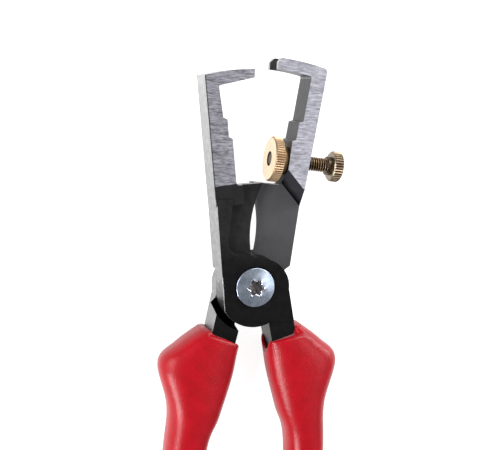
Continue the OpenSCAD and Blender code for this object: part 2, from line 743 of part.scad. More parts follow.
// Right hand sleeve grip: a loft between its outer and inner edges, bored for the tang.
module grip(set) {
    sides = 28;
    spans = 30;
    cap_rings = 5;
    cap_turn = 80;
    cap_y = grip_end_y - grip_cap;
    palm_y = (grip_waist_y + cap_y * 2) / 3;
    edge = function (x, y, side) [x - set_in(y, set) + side * set * left_swell, -y - set * left_down];
    outer = [for (p = [[mouth_out_x, mouth_out_y], [shoulder_x, shoulder_y], [guard_x, guard_y],
        [flank_x, (guard_y + grip_waist_y) / 2], [grip_waist_out, grip_waist_y],
        [grip_end_out, palm_y], [grip_end_out, cap_y]]) edge(p.x, p.y, 1)];
    inner = [for (p = [[mouth_in_x, mouth_in_y],
        [(mouth_in_x * 2 + guard_in_x) / 3, (mouth_in_y * 2 + guard_in_y) / 3], [guard_in_x, guard_in_y],
        [(guard_in_x + grip_waist_in) / 2, (guard_in_y + grip_waist_y) / 2],
        [grip_waist_in, grip_waist_y], [(grip_waist_in + grip_end_in * 2) / 3, palm_y],
        [grip_end_in, cap_y]]) edge(p.x, p.y, -1)];
    depth = [grip_mouth_t, (grip_mouth_t + grip_guard_t * 2) / 3, grip_guard_t, grip_guard_t,
        (grip_guard_t + grip_end_t) / 2, grip_end_t, grip_end_t] / 2;
    last = len(outer) - 1;
    ring = function (o, i, h) [for (k = [0:sides - 1]) let (a = 360 * k / sides)
        concat((o + i) / 2 + (o - i) / 2 * signed_power(cos(a), grip_power),
            [h * signed_power(sin(a), grip_power)])];
    body = [for (s = [0:spans]) let (t = last * s / spans)
        ring(spline(outer, t), spline(inner, t), spline(depth, t))];
    cap = [for (s = [1:cap_rings]) let (
            a = cap_turn * s / cap_rings,
            mid = (outer[last] + inner[last]) / 2 - [0, grip_cap * sin(a)],
            half = (outer[last] - inner[last]) / 2 * cos(a)
        ) ring(mid + half, mid - half, depth[last] * cos(a))];
    at_lap() difference() {
        loft(concat(body, cap));
        tang(set, tang_clear);
        across_jaw(-joint_t, joint_t) lip_outline(set);
        translate([-far / 8, -lip_in_y - lip_notch_d + lip_notch_r, 0]) {
            rotate([0, 90, 0]) cylinder(h = far / 8 + tang_x, r = lip_notch_r);
            translate([0, 0, -lip_notch_r]) cube([far / 8 + tang_x, far / 8, 2 * lip_notch_r]);
        }
    }
}

module right_grip() color("firebrick") grip(0);

module left_grip() color("firebrick") mirror([1, 0, 0]) grip(1);

front_arm();
rear_arm();
pivot_screw();
opening_spring();
adjusting_stud();
adjusting_knob();
lock_nut();
right_grip();
left_grip();
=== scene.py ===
import math

import bmesh
import bpy
import numpy as np
from mathutils import Matrix, Vector


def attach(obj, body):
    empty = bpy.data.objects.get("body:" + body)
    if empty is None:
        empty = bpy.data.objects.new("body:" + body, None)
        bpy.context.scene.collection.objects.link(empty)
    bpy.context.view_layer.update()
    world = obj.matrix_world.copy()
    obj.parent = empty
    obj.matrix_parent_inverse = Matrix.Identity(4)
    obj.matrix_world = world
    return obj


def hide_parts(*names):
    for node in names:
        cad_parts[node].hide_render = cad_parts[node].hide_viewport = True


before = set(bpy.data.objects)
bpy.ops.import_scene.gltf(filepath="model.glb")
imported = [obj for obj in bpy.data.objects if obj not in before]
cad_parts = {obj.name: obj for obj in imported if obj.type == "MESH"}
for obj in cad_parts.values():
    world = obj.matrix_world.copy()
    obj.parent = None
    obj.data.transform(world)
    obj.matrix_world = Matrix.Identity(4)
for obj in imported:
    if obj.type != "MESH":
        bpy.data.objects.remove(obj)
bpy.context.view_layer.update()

# Front arm
# A drop forging in tool steel: left jaw with its hook, front cheek of the lap joint, right tang.
# The jaw is ground bare across its faces, its edges are linished bare, the joint stays oxide black.

MM = 0.001
JAW_LEAN = math.radians(7.9)
LAP_HEIGHT = 5.0
JAW_HALF = 4.7
ARM_CREASE = math.radians(28.0)
ARM_WELD = 0.04
GRIND_FOOT = (-12.7, 27.5, -6.5, 28.5)
BLACK = (0.0, 0.0, 0.0, 1.0)


def put(tree, socket, value):
    if isinstance(value, bpy.types.NodeSocket):
        tree.links.new(value, socket)
    else:
        socket.default_value = value


def add(tree, kind, settings=None, **inputs):
    made = tree.nodes.new(kind)
    for name, value in (settings or {}).items():
        setattr(made, name, value)
    for name, value in inputs.items():
        put(tree, made.inputs[name.replace("_", " ")], value)
    return made


def maths(tree, operation, a, b=0.0, c=0.0):
    made = add(tree, "ShaderNodeMath", {"operation": operation})
    for socket, value in zip(made.inputs, (a, b, c)):
        put(tree, socket, value)
    return made.outputs[0]


def mix_colours(tree, factor, a, b):
    made = add(tree, "ShaderNodeMix", {"data_type": "RGBA"})
    put(tree, made.inputs[0], factor)
    put(tree, made.inputs[6], a)
    put(tree, made.inputs[7], b)
    return made.outputs[2]


def spread(tree, value, low, high):
    made = add(tree, "ShaderNodeMapRange", Value=value)
    put(tree, made.inputs["To Min"], low)
    put(tree, made.inputs["To Max"], high)
    return made.outputs[0]


def new_group(name, inputs, outputs):
    group = bpy.data.node_groups.new(name, "ShaderNodeTree")
    for label, kind, value in inputs:
        socket = group.interface.new_socket(label, in_out="INPUT", socket_type=kind)
        if value is not None:
            socket.default_value = value
    for label, kind in outputs:
        group.interface.new_socket(label, in_out="OUTPUT", socket_type=kind)
    return group, group.nodes.new("NodeGroupInput"), group.nodes.new("NodeGroupOutput")


def place_group(tree, group, **inputs):
    made = tree.nodes.new("ShaderNodeGroup")
    made.node_tree = group
    for name, value in inputs.items():
        put(tree, made.inputs[name.replace("_", " ")], value)
    return made


def new_material(name):
    material = bpy.data.materials.new(name)
    material.use_nodes = True
    tree = material.node_tree
    shader = tree.nodes["Principled BSDF"]
    place = add(tree, "ShaderNodeTexCoord").outputs["Object"]
    return material, tree, shader, place


# Belt grinding: short scratches across the work, in clumps of brighter and darker strokes.
grinding, entry, leave = new_group(
    "belt_grinding",
    [("Place", "NodeSocketVector", None),
     ("Along", "NodeSocketFloat", 580.0),
     ("Across", "NodeSocketFloat", 4200.0)],
    [("Stroke", "NodeSocketFloat"), ("Clump", "NodeSocketFloat")])
stretch = add(grinding, "ShaderNodeCombineXYZ", X=entry.outputs["Along"], Y=entry.outputs["Across"],
              Z=entry.outputs["Along"])
strokes_at = add(grinding, "ShaderNodeVectorMath", {"operation": "MULTIPLY"})
put(grinding, strokes_at.inputs[0], entry.outputs["Place"])
put(grinding, strokes_at.inputs[1], stretch.outputs[0])
stroke = add(grinding, "ShaderNodeTexNoise", Vector=strokes_at.outputs[0], Scale=1.0, Detail=3.0,
             Roughness=0.7)
clumps_at = add(grinding, "ShaderNodeVectorMath", {"operation": "SCALE"}, Scale=0.45)
put(grinding, clumps_at.inputs[0], strokes_at.outputs[0])
clump = add(grinding, "ShaderNodeTexNoise", Vector=clumps_at.outputs[0], Scale=1.0, Detail=1.0)
put(grinding, leave.inputs["Stroke"], stroke.outputs["Fac"])
put(grinding, leave.inputs["Clump"], clump.outputs["Fac"])

# Fine grain: the tooth of blasted, cast or moulded surfaces, with slow blotches under it.
grain, entry, leave = new_group(
    "surface_grain",
    [("Place", "NodeSocketVector", None),
     ("Grain", "NodeSocketFloat", 4000.0),
     ("Blotch", "NodeSocketFloat", 150.0)],
    [("Tooth", "NodeSocketFloat"), ("Blotch", "NodeSocketFloat")])
tooth = add(grain, "ShaderNodeTexNoise", Vector=entry.outputs["Place"], Scale=entry.outputs["Grain"],
            Detail=2.0)
blotch = add(grain, "ShaderNodeTexNoise", Vector=entry.outputs["Place"], Scale=entry.outputs["Blotch"],
             Detail=3.0)
put(grain, leave.inputs["Tooth"], tooth.outputs["Fac"])
put(grain, leave.inputs["Blotch"], blotch.outputs["Fac"])


def grained(name, dark, light, rough, depth, metallic, grain_size, blotch_size, gloss=0.5, fade=None):
    """A grained surface. A fade (axis, low, high, share) darkens it towards a low level in millimetres."""
    material, tree, shader, place = new_material(name)
    marks = place_group(tree, grain, Place=place, Grain=grain_size, Blotch=blotch_size)
    speck = maths(tree, "MULTIPLY_ADD", marks.outputs["Tooth"], 0.9, -0.45)
    shade = maths(tree, "ADD", spread(tree, marks.outputs["Blotch"], -0.4, 1.4), speck)
    colour = mix_colours(tree, shade, (*dark, 1.0), (*light, 1.0))
    shader.inputs["Specular IOR Level"].default_value = gloss
    shader.inputs["Metallic"].default_value = metallic
    if fade:
        axis, low, high, share = fade
        axes = add(tree, "ShaderNodeSeparateXYZ", Vector=place)
        level = add(tree, "ShaderNodeMapRange", {"clamp": True}, Value=axes.outputs[axis],
                    From_Min=low * MM, From_Max=high * MM, To_Min=share, To_Max=1.0).outputs[0]
        colour = mix_colours(tree, level, BLACK, colour)
        if metallic < 1.0:
            put(tree, shader.inputs["Metallic"], spread(tree, level, 1.0, metallic))
    put(tree, shader.inputs["Base Color"], colour)
    put(tree, shader.inputs["Roughness"], spread(tree, marks.outputs["Tooth"], rough - 0.1, rough + 0.1))
    bump = add(tree, "ShaderNodeBump", Height=marks.outputs["Tooth"], Strength=0.4, Distance=depth)
    put(tree, shader.inputs["Normal"], bump.outputs["Normal"])
    return material


BLACK_DARK, BLACK_LIGHT = (0.0015, 0.0015, 0.002), (0.011, 0.0106, 0.012)
oxide_black = grained("oxide_black", BLACK_DARK, BLACK_LIGHT, rough=0.55, depth=0.08 * MM, metallic=0.0,
                      grain_size=2600.0, blotch_size=500.0, gloss=0.19, fade=("Y", 6.0, 14.0, 0.52))
# The ramp fades darker towards its foot on the lap face: painted shade in the crease there.
ramp_black = grained("ramp_black", (0.01, 0.01, 0.013), (0.017, 0.017, 0.022), rough=0.45, depth=0.05 * MM,
                     metallic=0.0, grain_size=5200.0, blotch_size=320.0, gloss=0.25,
                     fade=("Z", 5.4, 7.0, 0.12))
# The pocket finish is the black oxide with painted shade: near black and without gloss, for the step wall
# and hollows lying in shade.
shaded_pocket_black = grained("shaded_pocket_black", (0.001, 0.001, 0.001), (0.002, 0.002, 0.002), rough=0.7,
                       depth=0.03 * MM, metallic=0.0, grain_size=5200.0, blotch_size=320.0, gloss=0.0)
# The linished steel fades darker towards the bottom: painted shade, as the light falls from above.
linished_edge = grained("linished_edge", (0.32, 0.32, 0.32), (0.49, 0.49, 0.495), rough=0.5,
                        depth=0.03 * MM, metallic=1.0, grain_size=4200.0, blotch_size=700.0,
                        fade=("Y", 0.0, 60.0, 0.7))
# The boss's side is a darker copy of the linished steel, fading darker again towards the bottom: painted
# shade on a side the light reaches less.
boss_side = grained("boss_side", (0.2, 0.2, 0.203), (0.34, 0.34, 0.345), rough=0.42, depth=0.03 * MM,
                    metallic=1.0, grain_size=4200.0, blotch_size=700.0, fade=("Y", -4.0, 3.5, 0.3))
# The lap face fades to near black below the boss: painted shade where it lies between the boss and the step
# wall.
lap_grey = grained("lap_grey", (0.052, 0.0503, 0.0552), (0.064, 0.062, 0.067), rough=0.5, depth=0.02 * MM,
                   metallic=0.3, grain_size=3800.0, blotch_size=240.0, gloss=0.3,
                   fade=("Y", -1.0, 3.0, 0.02))
jaw_inside = grained("jaw_inside", (0.04, 0.04, 0.043), (0.07, 0.07, 0.075), rough=0.42, depth=0.02 * MM,
                     metallic=0.8, grain_size=2600.0, blotch_size=500.0)

JAW_OUTER = -9.0
# Painted shade line along the jaw face's outer edge: darkest this far in, gone at the width, in
# millimetres.
EDGE_SHADE_CORE, EDGE_SHADE_WIDTH = 0.2, 0.42


def ground_face(name, dark, light, foot=None, edge_shade=False):
    """Belt-ground steel. A foot line (x, y, x, y) ends it in oxide black, painted shade darkens its outer
    edge.
    """
    material, tree, shader, place = new_material(name)
    marks = place_group(tree, grinding, Place=place)
    tone = maths(tree, "ADD", maths(tree, "MULTIPLY", marks.outputs["Stroke"], 0.75),
                 maths(tree, "MULTIPLY", marks.outputs["Clump"], 0.25))
    tone = add(tree, "ShaderNodeMapRange", {"clamp": True}, Value=tone, From_Min=0.38, From_Max=0.64)
    colour = mix_colours(tree, tone.outputs[0], (*dark, 1.0), (*light, 1.0))
    shader.inputs["Metallic"].default_value = 1.0
    rough = maths(tree, "MULTIPLY_ADD", marks.outputs["Stroke"], 0.25, 0.28)
    # Painted shade: a thin dark line along the face's rounded outer edge.
    if edge_shade:
        across = add(tree, "ShaderNodeVectorMath", {"operation": "DOT_PRODUCT"})
        put(tree, across.inputs[0], place)
        put(tree, across.inputs[1], (math.cos(JAW_LEAN), math.sin(JAW_LEAN), 0.0))
        clear = add(tree, "ShaderNodeMapRange", {"clamp": True}, Value=across.outputs["Value"],
                    From_Min=(JAW_OUTER + EDGE_SHADE_CORE) * MM, From_Max=(JAW_OUTER + EDGE_SHADE_WIDTH) * MM,
                    To_Min=0.22)
        colour = mix_colours(tree, clear.outputs[0], BLACK, colour)
    if foot:
        x0, y0, x1, y1 = foot
        slope = (y1 - y0) / (x1 - x0)
        axes = add(tree, "ShaderNodeSeparateXYZ", Vector=place)
        rise = maths(tree, "MULTIPLY_ADD", axes.outputs["X"], -slope, axes.outputs["Y"])
        ragged = maths(tree, "MULTIPLY_ADD", marks.outputs["Stroke"], 0.5 * MM, rise)
        level = y0 - slope * x0
        bare = add(tree, "ShaderNodeMapRange", {"clamp": True}, Value=ragged, From_Min=(level + 0.1) * MM,
                   From_Max=(level + 0.5) * MM).outputs[0]
        spots = place_group(tree, grain, Place=place, Grain=5200.0, Blotch=320.0)
        black = mix_colours(tree, spots.outputs["Blotch"], (*BLACK_DARK, 1.0), (*BLACK_LIGHT, 1.0))
        colour = mix_colours(tree, bare, black, colour)
        put(tree, shader.inputs["Metallic"], bare)
        shader.inputs["Specular IOR Level"].default_value = 0.2
        rough = maths(tree, "MULTIPLY_ADD", maths(tree, "SUBTRACT", 1.0, bare), 0.15, rough)
    put(tree, shader.inputs["Base Color"], colour)
    put(tree, shader.inputs["Roughness"], rough)
    bump = add(tree, "ShaderNodeBump", Height=marks.outputs["Stroke"], Strength=0.35, Distance=0.03 * MM)
    put(tree, shader.inputs["Normal"], bump.outputs["Normal"])
    return material


SEAM_LEVEL, SEAM_SIDE, SEAM_NEAR = 22.27, 11.0, 0.3


def skin_copy(node, name, weld=0.002):
    """A copy of a solid's skin, its facets joined and the end walls of an arm's thin seam taken away."""
    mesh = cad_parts[node].data.copy()
    mesh.name = name
    mesh.materials.clear()
    work = bmesh.new()
    work.from_mesh(mesh)
    bmesh.ops.remove_doubles(work, verts=work.verts, dist=weld * MM)
    bmesh.ops.dissolve_limit(work, angle_limit=math.radians(0.6), verts=work.verts, edges=work.edges)
    bmesh.ops.recalc_face_normals(work, faces=work.faces)
    seams = [face for face in work.faces
             if abs(face.normal.y) > 0.98
             and abs(face.calc_center_median().x) > SEAM_SIDE * MM
             and abs(face.calc_center_median().y - SEAM_LEVEL * MM) < SEAM_NEAR * MM]
    bmesh.ops.delete(work, geom=seams, context="FACES")
    for face in work.faces:
        face.smooth = True
    work.to_mesh(mesh)
    work.free()
    for layer in ("custom_normal", "sharp_edge"):
        if layer in mesh.attributes:
            mesh.attributes.remove(mesh.attributes[layer])
    piece = bpy.data.objects.new(name, mesh)
    bpy.context.scene.collection.objects.link(piece)
    return piece


FINISHES = ("black", "pocket", "ground", "ground_foot", "edge", "boss", "lap", "inside", "ramp")
FLAT = 0.98
BOSS_REACH = 12.0
POCKET_WALL = (11.8, 13.6)
HOOK_REACH = 54.0
STEPS_FOOT = 35.2


def finish_of(spot, facing):
    """The finish of a face of an arm, by its place and facing in the arm's own frame, in millimetres."""
    x, y, z = spot
    nx, ny, nz = facing
    across = x * math.cos(JAW_LEAN) + y * math.sin(JAW_LEAN)
    along = y * math.cos(JAW_LEAN) - x * math.sin(JAW_LEAN)
    out = nx * math.cos(JAW_LEAN) + ny * math.sin(JAW_LEAN)
    reach = math.hypot(x, y)
    radial = (nx * x + ny * y) / max(reach, 0.1)
    # flat faces: the lap, the jaw's two ground sides, the black cheek
    if abs(nz) > FLAT:
        if abs(z) < 0.5:
            # lap faces low beside the boss take the pocket finish: painted shade
            return "lap" if y > 3.0 else "pocket"
        if along > 24.0 and z < 0.0:
            return "ground"
        return "ground_foot" if along > 26.0 and abs(z - JAW_HALF) < 0.1 else "black"
    # the step wall round the other arm's boss, then the sloped ramp and other slopes
    # the step wall takes the pocket finish: black oxide with painted shade
    if POCKET_WALL[0] < reach < POCKET_WALL[1] and radial < -0.6 and y < 4.0:
        return "pocket"
    if abs(nz) > 0.45:
        return "ramp" if nz < 0.0 and 20.0 < along < 34.0 else "black"
    # upright faces: the hook, the jaw's outer side and floor, its stepped inner side
    if reach > HOOK_REACH:
        return "inside" if radial < -0.4 else "edge"
    if (out < -0.8 and across < -7.5 and along > 2.0) or (27.0 < y < 30.5 and (ny > 0.9 or x > 0.0)):
        return "edge"
    if along > STEPS_FOOT and out > 0.2:
        return "inside"
    # the web's foot, the tang's outer side with the boss above it, the boss's other side
    if x < -8.0 and -1.0 < y < 8.0 and ny < -0.3:
        return "edge"
    if x > 4.0 and (y < 2.0 and nx > 0.8 or y < 9.0 and reach < BOSS_REACH and nx > 0.3):
        return "edge"
    if y < 3.0 and (reach < BOSS_REACH and radial > 0.6 or y < -9.0 and nx < -0.8):
        return "boss"
    return "black"


def dress_arm(piece, side, ground, ground_foot):
    """Gives every face its finish: side is 1 for the front arm, -1 for the one that is turned over."""
    for material in (oxide_black, shaded_pocket_black, ground, ground_foot, linished_edge, boss_side, lap_grey,
                     jaw_inside, ramp_black):
        piece.data.materials.append(material)
    for face in piece.data.polygons:
        spot, facing = face.center / MM, face.normal
        finish = finish_of((spot.x * side, spot.y, (spot.z - LAP_HEIGHT) * side),
                           (facing.x * side, facing.y, facing.z * side))
        face.material_index = FINISHES.index(finish)


def line_edges(piece, one, other, upper, width, finish):
    """Breaks the edges between two finishes on the left of one side, and gives them their own finish."""
    pair = {FINISHES.index(one), FINISHES.index(other)}
    work = bmesh.new()
    work.from_mesh(piece.data)
    picked = []
    for edge in work.edges:
        middle = (edge.verts[0].co + edge.verts[1].co) / 2.0
        level = (middle.z > LAP_HEIGHT * MM) == upper
        if {face.material_index for face in edge.link_faces} == pair and level and middle.x < 0.0:
            picked.append(edge)
    bmesh.ops.bevel(work, geom=picked, offset=width, offset_type="OFFSET", segments=1, profile=0.5,
                    affect="EDGES", clamp_overlap=True, material=FINISHES.index(finish), loop_slide=True)
    for face in work.faces:
        face.smooth = True
    work.to_mesh(piece.data)
    work.free()


SHOULDER_TIP, SHOULDER_FOOT, SHOULDER_TOP, SHOULDER_BACK = (11.2, -5.2), -11.0, -3.7, -4.4
WALL_FOOT, WALL_TOP = 12.3, 13.0
TANG_HEAD = (-9.0, -3.0)


def tang_shoulder(piece, side):
    """The blunt forging ridge at the top of a tang's outer side, highest at the lap plane."""
    sides = [face for face in piece.data.polygons
             if face.normal.x * side > 0.9 and TANG_HEAD[0] < face.center.y / MM < TANG_HEAD[1]]
    widest = max(sides, key=lambda face: face.area)
    lean = -widest.normal.y / (widest.normal.x * side)
    base = widest.center / MM

    def on_side(y, z):
        return Vector(((base.x * side + (y - base.y) * lean) * side, y, LAP_HEIGHT + z * side)) * MM

    def at_reach(reach, z):
        y = -4.0
        while on_side(y, z).xy.length < reach * MM:
            y -= 0.02
        return on_side(y, z)

    tip = Vector((SHOULDER_TIP[0] * side, SHOULDER_TIP[1], LAP_HEIGHT)) * MM
    foot = on_side(SHOULDER_FOOT, 0.0)
    top = on_side(SHOULDER_TOP, 0.0)
    back = on_side(SHOULDER_BACK, JAW_HALF)
    wall_foot = at_reach(WALL_FOOT, 0.0)
    wall_top = at_reach(WALL_TOP, -JAW_HALF)
    work = bmesh.new()
    work.from_mesh(piece.data)
    # The shoulder's wall and seat take the pocket finish: painted shade.
    for finish, corners in (("edge", (wall_top, tip, foot)),
                            ("edge", (tip, back, foot)),
                            ("edge", (tip, top, back)),
                            ("pocket", (tip, wall_foot, top)),
                            ("pocket", (tip, wall_top, wall_foot))):
        made = work.faces.new([work.verts.new(corner) for corner in corners])
        made.material_index = FINISHES.index(finish)
        made.normal_update()
        if made.normal.dot(made.calc_center_median() - base * MM) < 0.0:
            made.normal_flip()
    seat = work.faces.new([work.verts.new(corner) for corner in (wall_top, foot, back, top, wall_foot)])
    seat.material_index = FINISHES.index("pocket")
    seat.normal_update()
    if seat.normal.x * side > 0.0:
        seat.normal_flip()
    work.to_mesh(piece.data)
    work.free()


BEVEL_TOP, BEVEL_FOOT = 3.7, 2.5
BORE_REACH, GROOVE_REACH, GROOVE_END = 4.5, 9.2, 8.95
NEAR = 0.05


def close_boss_side(piece, side):
    """Carries the boss and the recess wall on over the groove where the recess bevel runs into the boss."""
    work = bmesh.new()
    work.from_mesh(piece.data)

    def level(spot):
        return (spot.z / MM - LAP_HEIGHT) * side

    roofs = [face for face in work.faces if face.normal.z * side < -0.98
             and abs(level(face.calc_center_median()) - BEVEL_TOP) < NEAR]
    groove = [face for face in work.faces if face.calc_center_median().xy.length < GROOVE_REACH * MM
              and face.calc_center_median().y < GROOVE_END * MM
              and all(BEVEL_FOOT - NEAR < level(vert.co) < BEVEL_TOP + NEAR for vert in face.verts)]
    rims = [edge for face in roofs for edge in face.edges
            if max(level(beside.calc_center_median()) for beside in edge.link_faces) > BEVEL_TOP + NEAR]
    drop = Vector((0.0, 0.0, (BEVEL_FOOT - BEVEL_TOP) * side)) * MM
    for edge in rims:
        one, other = edge.verts
        made = work.faces.new((one, other, work.verts.new(other.co + drop), work.verts.new(one.co + drop)))
        made.normal_update()
        outside = one.co.xy.length > BORE_REACH * MM
        if (made.normal.dot(made.calc_center_median()) > 0.0) != outside:
            made.normal_flip()
        made.smooth = True
    bmesh.ops.delete(work, geom=groove, context="FACES")
    bmesh.ops.remove_doubles(work, verts=work.verts, dist=0.002 * MM)
    work.to_mesh(piece.data)
    work.free()


RECESS_LEVELS, RECESS_SOFT = (5.0, 3.1), 0.8 * MM
RECESS_SPAN, RECESS_SIDE, RECESS_TURN = (7.0, 23.9), 5.0, 1.2


def soften_recess(piece, side):
    """Rounds the rim and the foot of the shallow forged recess beside the hollow edge."""
    work = bmesh.new()
    work.from_mesh(piece.data)
    picked = []
    for edge in work.edges:
        middle = (edge.verts[0].co + edge.verts[1].co) / 2.0 / MM
        height = (middle.z - LAP_HEIGHT) * side
        if min(abs(height - level) for level in RECESS_LEVELS) > NEAR or len(edge.link_faces) != 2:
            continue
        wall = min(edge.link_faces, key=lambda face: abs(face.normal.z)).normal
        inside = RECESS_SPAN[0] < middle.y < RECESS_SPAN[1] and middle.x * side < RECESS_SIDE
        if inside and abs(wall.z) < 0.2 and edge.calc_face_angle() > RECESS_TURN:
            if wall.x * side + wall.y > 0.5 or height < 4.0:
                picked.append(edge)
    bmesh.ops.bevel(work, geom=picked, offset=RECESS_SOFT, offset_type="OFFSET", segments=4, profile=0.5,
                    affect="EDGES", clamp_overlap=True, loop_slide=True)
    for face in work.faces:
        face.smooth = True
    work.to_mesh(piece.data)
    work.free()


front_arm = skin_copy("front_arm", "front_arm_forging", ARM_WELD)
# The left jaw's ground steel is set darker than the right one's: painted shade, the same grinding with less
# light on it.
LEFT_DARK, LEFT_LIGHT = (0.15, 0.148, 0.172), (0.52, 0.512, 0.57)
close_boss_side(front_arm, 1)
# The last argument asks for the painted shade line along the left jaw face's outer edge.
dress_arm(front_arm, 1, ground_face("ground_left_back", LEFT_DARK, LEFT_LIGHT),
          ground_face("ground_left_jaw", LEFT_DARK, LEFT_LIGHT, GRIND_FOOT, True))
line_edges(front_arm, "black", "boss", True, 0.12 * MM, "boss")
soften_recess(front_arm, 1)
tang_shoulder(front_arm, 1)
front_arm.data.set_sharp_from_angle(angle=ARM_CREASE)
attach(front_arm, "front_half")
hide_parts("front_arm")

# Rear arm
# The same forging turned over, with the longer hook and the hole for the adjusting screw.
# Its flat lap face shows beside the front cheek, ground and then blackened to a dark grey.

rear_arm = skin_copy("rear_arm", "rear_arm_forging", ARM_WELD)
# The right jaw's ground steel is set lighter than the left one's: painted light, the same grinding with
# more light on it.
RIGHT_DARK, RIGHT_LIGHT = (0.25, 0.247, 0.284), (0.62, 0.615, 0.69)
x0, y0, x1, y1 = GRIND_FOOT
close_boss_side(rear_arm, -1)
dress_arm(rear_arm, -1, ground_face("ground_right_jaw", RIGHT_DARK, RIGHT_LIGHT),
          ground_face("ground_right_back", RIGHT_DARK, RIGHT_LIGHT, (-x0, y0, -x1, y1)))
line_edges(rear_arm, "black", "edge", False, 0.2 * MM, "edge")
soften_recess(rear_arm, -1)
tang_shoulder(rear_arm, -1)
rear_arm.data.set_sharp_from_angle(angle=ARM_CREASE)
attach(rear_arm, "rear_half")
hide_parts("rear_arm")

# Pivot screw
# A turned steel screw with a low round head and a six-lobed recess, zinc plated to a bluish white.
# It screws into the rear arm, and the front arm turns on its plain journal.

HEAD_RADIUS, HEAD_FOOT, HEAD_TOP = 5.5, LAP_HEIGHT + 4.6, LAP_HEIGHT + 6.4
HEAD_COLUMNS, RIM_STEPS, DOME_STEPS = 96, 6, 16
HEAD_CREASE = math.radians(38.0)
RIM_ROUND, DOME_DROP = 0.32, 0.7
DRIVE_RADIUS, DRIVE_WAVE, DRIVE_FLOOR = 2.08, 0.36, LAP_HEIGHT + 4.2
DRIVE_LIP, LOBE_START = 0.16, 0.6


def domed_head():
    """Rings of the head: up its side, round its rim, over the dome, down the six-lobed recess."""
    rings = [(HEAD_RADIUS, HEAD_FOOT, 0.0, 0)]
    for step in range(RIM_STEPS + 1):
        bend = math.pi / 2.0 * step / RIM_STEPS
        wide = HEAD_RADIUS - RIM_ROUND * (1.0 - math.cos(bend))
        height = HEAD_TOP - (DOME_DROP + RIM_ROUND) + RIM_ROUND * math.sin(bend)
        rings.append((wide, height, 0.0, 0))
    for step in range(1, DOME_STEPS + 1):
        share = step / DOME_STEPS
        wide = (HEAD_RADIUS - RIM_ROUND) * (1.0 - share) + (DRIVE_RADIUS + DRIVE_LIP) * share
        height = HEAD_TOP - DOME_DROP * (wide / (HEAD_RADIUS - RIM_ROUND)) ** 2
        rings.append((wide, height, DRIVE_WAVE * max(0.0, share - LOBE_START) / (1.0 - LOBE_START), 0))
    brink = rings[-1][1]
    # The recess walls below take finish 1, painted light, and its floor finish 2, painted shade.
    for inset, drop in ((0.02, 0.03), (0.16, 0.12), (0.2, 0.3), (0.26, 0.8), (0.32, 1.4)):
        rings.append((DRIVE_RADIUS + DRIVE_LIP - inset, brink - drop, DRIVE_WAVE, 1))
    rings.append((DRIVE_RADIUS - 0.2, DRIVE_FLOOR, DRIVE_WAVE, 1))
    rings.append((0.9, DRIVE_FLOOR - 0.3, 0.0, 2))
    return rings


pivot_screw = skin_copy("pivot_screw", "pivot_screw_zinc")
zinc = grained("zinc_plate", (0.22, 0.27, 0.35), (0.46, 0.51, 0.6), rough=0.3, depth=0.01 * MM,
               metallic=1.0, grain_size=2400.0, blotch_size=420.0)
# The recess walls are a lit copy of the zinc and its floor a dark copy: painted light on the walls, painted
# shade at the bottom.
lit_drive_wall = grained("lit_drive_wall", (0.45, 0.46, 0.5), (0.95, 0.95, 1.0), rough=0.25, depth=0.01 * MM,
                     metallic=1.0, grain_size=2400.0, blotch_size=700.0)
shaded_drive_floor = grained("shaded_drive_floor", (0.05, 0.045, 0.05), (0.2, 0.18, 0.18), rough=0.4, depth=0.01 * MM,
                      metallic=1.0, grain_size=2400.0, blotch_size=700.0)
for material in (zinc, lit_drive_wall, shaded_drive_floor):
    pivot_screw.data.materials.append(material)
work = bmesh.new()
work.from_mesh(pivot_screw.data)
plain_head = [face for face in work.faces if face.calc_center_median().z > (HEAD_FOOT - 1.0) * MM]
bmesh.ops.delete(work, geom=plain_head, context="FACES")
last = None
for wide, height, wave, finish in domed_head():
    ring = []
    for column in range(HEAD_COLUMNS):
        turn = 2.0 * math.pi * column / HEAD_COLUMNS
        reach = wide + wave * math.cos(6.0 * turn)
        ring.append(work.verts.new(Vector((reach * math.cos(turn), reach * math.sin(turn), height)) * MM))
    for column in range(HEAD_COLUMNS if last else 0):
        beside = (column + 1) % HEAD_COLUMNS
        made = work.faces.new((last[column], last[beside], ring[beside], ring[column]))
        made.material_index = finish
        made.smooth = True
    last = ring
work.faces.new(last).material_index = 2
bmesh.ops.bridge_loops(work, edges=[edge for edge in work.edges if edge.is_boundary])
bmesh.ops.recalc_face_normals(work, faces=work.faces)
work.to_mesh(pivot_screw.data)
work.free()
pivot_screw.data.set_sharp_from_angle(angle=HEAD_CREASE)
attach(pivot_screw, "rear_half")
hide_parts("pivot_screw")

# Opening spring
# One turn of drawn spring wire with two straight legs, shut in the pockets of the lap faces.
# It pushes the arms apart and cannot be seen from outside.

wire_steel = grained("spring_wire_steel", (0.16, 0.16, 0.17), (0.26, 0.26, 0.28), rough=0.35,
                     depth=0.01 * MM, metallic=1.0, grain_size=3000.0, blotch_size=400.0)
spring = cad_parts["opening_spring"]
spring.data.materials.clear()
spring.data.materials.append(wire_steel)

# Adjusting stud
# A cut brass thread, darkened with age and oil, screwed through the right jaw, its thread roots painted
# near black as painted shade.
# Its plain bevelled tip stops the other jaw, so it sets how deep the notches close.

